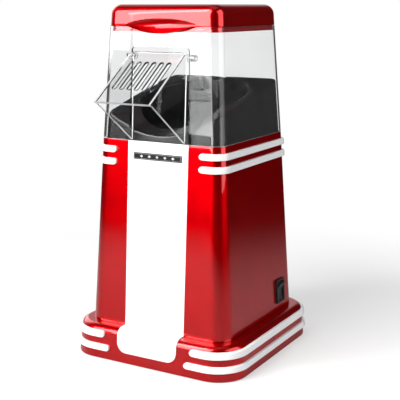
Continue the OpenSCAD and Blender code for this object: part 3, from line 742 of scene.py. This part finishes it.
def make_cover():
    """The clear cover: four drafted walls, the front opening and two ears with the flap's pin holes."""
    steps = 6
    heights = [COVER_BOTTOM + (COVER_TOP - COVER_BOTTOM) * i / steps for i in range(steps + 1)]
    rings = [ring(*tower_skin(z), z) for z in heights]
    rings += [ring(*tower_skin(z, -COVER_WALL), z) for z in reversed(heights)]
    mesh = Shape().loft(rings, wrap=True).mesh("cover")

    # the opening's cutter starts below the cover's foot and goes right through its front wall
    foot = TOWER_TOP - 2
    side, top = OPENING_HALF - OPENING_TAPER - OPENING_CORNER, OPENING_TOP - OPENING_CORNER
    outline = [(-OPENING_HALF, foot), (OPENING_HALF, foot)]
    outline += [(side + x, top + z) for x, z in arc(OPENING_CORNER, 0, 90, 6)]
    outline += [(-side + x, top + z) for x, z in arc(OPENING_CORNER, 90, 180, 6)]
    front = -tower_half(TOWER_TOP)
    opening = Shape().prism(outline, lambda x, z, d: (x, d, z), front - 5, front + 10)
    mesh = boolean(mesh, opening.mesh("opening"), "DIFFERENCE")

    def across(r, n, x0, x1):
        """A round bar along the flap's pivot."""
        return Shape().prism(round_outline(r, n), lambda y, z, x: (x, PIVOT_Y + y, PIVOT_Z + z), x0, x1)

    for side in (-1, 1):
        x = side * (OPENING_HALF - EAR_OVERLAP + EAR_W / 2)
        mesh = boolean(mesh, across(EAR_R, 28, x - EAR_W / 2, x + EAR_W / 2).mesh("ear"), "UNION")
    mesh = boolean(mesh, across(PIN_HOLE_R, 20, -PIN_HOLE_END, PIN_HOLE_END).mesh("pin"), "DIFFERENCE")

    # the cover's level faces, its rims among them, get the edge finish's whitish painted highlight
    def level(_, normal):
        return abs(normal.z) > 0.6

    piece("cover_shell", mesh, "cover_body", "clear_plastic", ["cover"], bevel=0.3, edge_test=level)


def make_lid():
    straight_top = LID_TOP - LID_FILLET
    shrink = 0.8  # how much of its fillet's inset a corner's radius loses
    least_r = 0.4
    crown = [(8.0, 1.0), (30.0, 2.0)]  # half width and corner radius of rings on the flat top

    def lid_ring(inset, z, fillet_inset=0.0):
        half = tower_half(min(z, straight_top)) - inset - fillet_inset
        return ring(half, max(least_r, TOP_CORNER - inset - shrink * fillet_inset), z)

    flat_half = tower_half(straight_top) - LID_FILLET
    rings = [ring(half, corner, LID_TOP) for half, corner in crown + [(flat_half - 3, 2.8)]]
    for run, rise in arc(LID_FILLET, 90, 0, 14):
        rings.append(lid_ring(0.0, straight_top + rise, LID_FILLET - run))
    rings += [lid_ring(0.0, z) for z in (288.0, 285.0)]
    rings += [lid_ring(inset, z) for inset, z in edge_steps(LID_BOTTOM, -1)]
    rings += [lid_ring(PLUG_INSET, z) for z in (LID_BOTTOM, PLUG_BOTTOM)]
    rings += [lid_ring(PLUG_INSET + PLUG_T, z) for z in (PLUG_BOTTOM, straight_top - 1)]
    inner_r = LID_FILLET - LID_WALL
    for run, rise in arc(inner_r, 0, 90, 6):
        wall = max(LID_WALL, PLUG_INSET + PLUG_T - rise)
        rings.append(lid_ring(wall, straight_top + rise, inner_r - run))
    rings += [ring(half, corner, LID_TOP - LID_WALL) for half, corner in reversed(crown)]
    shape = Shape().loft(rings, caps=True)
    add_tab(shape)
    piece("lid_moulding", shape.mesh("lid_moulding"), "lid_body", "red_gloss", ["lid"], sharp=40.0)


def add_tab(shape):
    """The finger tab: it slopes out of the lid's front to a crease, and drops from there to a curved edge."""
    crease_r = (TAB_HALF**2 + TAB_OUT**2) / (2 * TAB_OUT)
    centre_y = -tower_half(TAB_CREASE) - TAB_OUT + crease_r
    edge_half, drop = TAB_HALF - TAB_HOOK, LID_BOTTOM - TAB_BOTTOM
    edge_r = (edge_half**2 + drop**2) / (2 * drop)
    crease_edge, foot_edge = 0.3, 0.5  # half height of the crease, and radius of the lower edge

    def front(x, z):
        if z > TAB_CREASE:
            u = ((z - TAB_CREASE) / (TAB_TOP - TAB_CREASE)) ** 1.5
            r = crease_r + (centre_y + tower_half(TAB_TOP) - crease_r) * u
        else:
            r = crease_r - TAB_TUCK * (TAB_CREASE - z) / (TAB_CREASE - TAB_BOTTOM)
        return min(centre_y - math.sqrt(r * r - x * x), -tower_half(z) + 0.8)

    def tab_section(x):
        foot = TAB_BOTTOM + edge_r - math.sqrt(edge_r**2 - min(abs(x), edge_half) ** 2)
        foot = min(foot, LID_BOTTOM - 0.1)
        foot_y = front(x, foot)
        r = min(foot_edge, (TAB_CREASE - foot) / 2)
        section = [(foot_y + r * (1 - math.sin(a)), foot + r * (1 - math.cos(a)))
                   for a in map(math.radians, (0, 30, 60, 90))]
        low, high = foot + r, TAB_CREASE - crease_edge
        heights = [low + (high - low) * i / 3 for i in (1, 2, 3)]
        low = TAB_CREASE + crease_edge
        heights += [low + (TAB_TOP - low) * i / 6 for i in range(7)]
        section += [(front(x, z), z) for z in heights]
        root = LID_BOTTOM + 0.2
        section += [(-tower_half(TAB_TOP) + 1.2, TAB_TOP), (-tower_half(LID_BOTTOM) + 1.2, root)]
        inner = min(foot_y + TAB_T, -tower_half(LID_BOTTOM) - 0.5)
        inner = max(inner, foot_y + r + 0.2)
        section += [(inner, root), (inner, foot)]
        return [(x, y, z) for y, z in section]

    end, steps = TAB_HALF - 1.0, 48
    shape.loft([tab_section(end * (2 * i / steps - 1)) for i in range(steps + 1)], caps=True)


# ---- pieces that start from their CAD solids ----


def make_flap():
    """The clear flap. The rims of its walls get the whitish edge finish that paints a highlight on them, and
    so do the strips of its panel over its side walls."""
    slope = math.radians(FLAP_SLOPE)
    panel = Vector((0, -math.sin(slope), math.cos(slope)))

    def edge(centre, normal):
        broad = abs(normal.x) > 0.9 or (abs(normal.dot(panel)) > 0.9 and abs(centre.x) < FLAP_INNER_HALF)
        slot_side = abs(centre.x) < FLAP_SLOTS_HALF and centre.y > -100
        return not broad and not slot_side

    mesh = from_cad("chute_flap")
    bm = bmesh.new()
    bm.from_mesh(mesh)
    for x in (-FLAP_INNER_HALF, FLAP_INNER_HALF):
        everything = [*bm.verts, *bm.edges, *bm.faces]
        bmesh.ops.bisect_plane(bm, geom=everything, plane_co=(x * MM, 0, 0), plane_no=(1, 0, 0))
    bm.to_mesh(mesh)
    bm.free()
    piece("flap_moulding", mesh, "flap", "clear_plastic", ["chute_flap"], bevel=0.3, edge_test=edge)


def make_small_parts():
    for name, node, body, slot, bevel in (
        ("switch_frame", "switch_housing", "base", "switch_black", 0.35),
        ("switch_key", "switch_rocker", "rocker", "switch_black", 0.4),
        ("gland_moulding", "cord_gland", "base", "black_plastic", 0.5),
        ("foot_pads", "feet", "base", "rubber", 0.5),
        ("base_tray", "base_plate", "base", "black_plastic", 0.3),
    ):
        piece(name, from_cad(node), body, slot, [node], bevel=bevel)


def dress_cad():
    """Gives every CAD node that is still shown the finish of its material slot."""
    slots = {part["node"]: part["material_slot"] for part in frame["record"]["subparts"]}
    for name, o in frame["nodes"].items():
        if not o.hide_render:
            o.data.materials.clear()
            o.data.materials.append(SLOT_FINISH[slots[name]])


make_plinth()
make_plinth_panel()
for band_name, band_at in PLINTH_BANDS.items():
    make_band(band_name, band_at, plinth_skin)
make_body()
make_shelf()
make_front_panel()
for band_name, band_at in BODY_BANDS.items():
    make_band(band_name, band_at, tower_skin)
make_badge()
make_hood()
make_cover()
make_lid()
make_flap()
make_small_parts()
dress_cad()


# ---- studio ----


# The way to the middle of the white wall, and the degrees from there to where it starts and ends to fade
WHITE_WALL = Vector((-0.82, 0.57, 0.1)).normalized()
WALL_INNER, WALL_OUTER = 35, 55
FLOOR_LIT_AT = (-0.07, -0.12, 0)
LAMPS_AIM = Vector((0, 0, 0.2))


def against_half(nodes, links, source, operation):
    """1 where source is less or greater than a half, as operation says, and 0 elsewhere."""
    n = nodes.new("ShaderNodeMath")
    n.operation = operation
    n.inputs[1].default_value = 0.5
    links.new(source, n.inputs[0])
    return n.outputs[0]


def direct_view(nodes, links):
    """1 for what is seen straight or through clear plastic, 0 for what lights or mirrors in the object."""
    path = nodes.new("ShaderNodeLightPath")
    depths = (path.outputs["Diffuse Depth"], path.outputs["Glossy Depth"])
    tests = [against_half(nodes, links, depth, "LESS_THAN") for depth in depths]
    both = nodes.new("ShaderNodeMath")
    both.operation = "MULTIPLY"
    for test, socket in zip(tests, both.inputs):
        links.new(test, socket)
    return both.outputs[0]


def through_clear(nodes, links):
    """1 for what is seen or mirrored after a way through clear plastic."""
    path = nodes.new("ShaderNodeLightPath")
    return against_half(nodes, links, path.outputs["Transmission Depth"], "GREATER_THAN")


def make_world():
    """White where it is seen, a soft fill for matt surfaces, and for glossy ones a dark room with a white
    wall behind the object. What glossy surfaces show through clear plastic is grey low down, dark above."""
    world = bpy.data.worlds.new("studio")
    bpy.context.scene.world = world
    world.use_nodes = True
    nodes, links = world.node_tree.nodes, world.node_tree.links

    def background(level):
        n = nodes.new("ShaderNodeBackground")
        n.inputs["Color"].default_value = (level, level, level, 1)
        return n.outputs[0]

    def mix(factor, a, b):
        return mix_shaders(nodes, links, factor, a, b)

    where = nodes.new("ShaderNodeTexCoord").outputs["Generated"]
    towards = nodes.new("ShaderNodeVectorMath")
    towards.operation = "DOT_PRODUCT"
    towards.inputs[1].default_value = WHITE_WALL
    links.new(where, towards.inputs[0])
    faded, full = (math.cos(math.radians(a)) for a in (WALL_OUTER, WALL_INNER))
    wall = map_range(nodes, links, towards.outputs["Value"], faded, full, 0, 1, "SMOOTHSTEP")
    height = nodes.new("ShaderNodeSeparateXYZ")
    links.new(where, height.inputs[0])
    above = map_range(nodes, links, height.outputs["Z"], 0.3, 0.5, 0, 1, "SMOOTHSTEP")
    path = nodes.new("ShaderNodeLightPath")
    dark, white_wall, clear_low, clear_high, fill, seen = map(background, (0.01, 0.5, 0.10, 0.02, 0.22, 1.0))
    room = mix(wall, dark, white_wall)
    room = mix(through_clear(nodes, links), room, mix(above, clear_low, clear_high))
    room = mix(path.outputs["Is Diffuse Ray"], room, fill)
    room = mix(direct_view(nodes, links), room, seen)
    links.new(room, nodes["World Output"].inputs["Surface"])


def make_floor():
    """A pale table. It is seen near white, its light on the object fades away from the middle, and from below
    it isn't there."""
    mesh = bpy.data.meshes.new("floor")
    r, below = 4.0, -0.0004
    mesh.from_pydata([(-r, -r, below), (r, -r, below), (r, r, below), (-r, r, below)], [], [(0, 1, 2, 3)])
    mat = bpy.data.materials.new("table_white")
    mat.use_nodes = True
    nodes, links = mat.node_tree.nodes, mat.node_tree.links
    nodes.remove(nodes["Principled BSDF"])

    def mix(factor, a, b):
        return mix_shaders(nodes, links, factor, a, b)

    def glow(strength):
        n = nodes.new("ShaderNodeEmission")
        n.inputs["Strength"].default_value = strength
        return n.outputs[0]

    def fade(centre, start, stop, low, high):
        """low near a point and high away from it."""
        n = nodes.new("ShaderNodeVectorMath")
        n.operation = "DISTANCE"
        n.inputs[1].default_value = centre
        links.new(nodes.new("ShaderNodeTexCoord").outputs["Object"], n.inputs[0])
        return map_range(nodes, links, n.outputs["Value"], start, stop, low, high, "SMOOTHSTEP")

    lit = nodes.new("ShaderNodeBsdfDiffuse")
    links.new(fade(FLOOR_LIT_AT, 0.34, 0.84, 0.36, 0.0), lit.inputs["Color"])
    seen = nodes.new("ShaderNodeBsdfDiffuse")
    seen.inputs["Color"].default_value = (0.45, 0.45, 0.45, 1)
    near = nodes.new("ShaderNodeAddShader")
    links.new(seen.outputs[0], near.inputs[0])
    links.new(glow(0.42), near.inputs[1])
    view = mix(fade((0, 0, 0), 0.25, 0.50, 0.0, 1.0), near.outputs[0], glow(1.0))
    table = mix(through_clear(nodes, links), lit.outputs[0], glow(0.10))
    table = mix(direct_view(nodes, links), table, view)
    facing = nodes.new("ShaderNodeNewGeometry")
    table = mix(facing.outputs["Backfacing"], table, nodes.new("ShaderNodeBsdfTransparent").outputs[0])
    links.new(table, nodes["Material Output"].inputs["Surface"])
    mesh.materials.append(mat)
    floor = add_object("floor", mesh)


def softbox(name, azimuth, elevation, distance, width, height, radiance):
    """A rectangular lamp that faces the object. Azimuth 0 is in front of it and 90 on its +X side, in degrees.
    radiance is how bright its face is, whatever its size."""
    a, e = math.radians(azimuth), math.radians(elevation)
    back = Vector((math.sin(a) * math.cos(e), -math.cos(a) * math.cos(e), math.sin(e)))
    lamp = bpy.data.lights.new(name, "AREA")
    lamp.shape, lamp.size, lamp.size_y = "RECTANGLE", width, height
    lamp.energy = 4 * radiance * width * height
    o = add_object(name, lamp)
    o.location = LAMPS_AIM + back * distance
    o.rotation_mode = "QUATERNION"
    o.rotation_quaternion = back.to_track_quat("Z", "Y")
    o.visible_camera = False


def make_camera():
    """It stands in front of the object, about 30 degrees to its +X side, and looks down by about 12."""
    camera = add_object("camera", bpy.data.cameras.new("camera"))
    camera.data.lens, camera.data.sensor_width = 82.93, 36.0
    camera.location = (0.4038, -0.6917, 0.2992)
    camera.rotation_euler = (math.radians(90 - 11.931), 0.0, math.radians(29.915))
    bpy.context.scene.camera = camera
    bpy.context.scene.view_settings.view_transform = "Standard"


make_world()
make_floor()
softbox("key", -18, 27.75, 1.3, 0.78, 1.5, 6.4)
softbox("key_left", -39, 31, 1.3, 0.25, 1.26, 6.4)
softbox("side", 95, 22, 1.3, 1.15, 1.4, 1.9)
softbox("top", 0, 90, 1.2, 0.9, 0.9, 0.25)
softbox("rear", 245, 18, 1.3, 0.8, 0.8, 1.2)
make_camera()
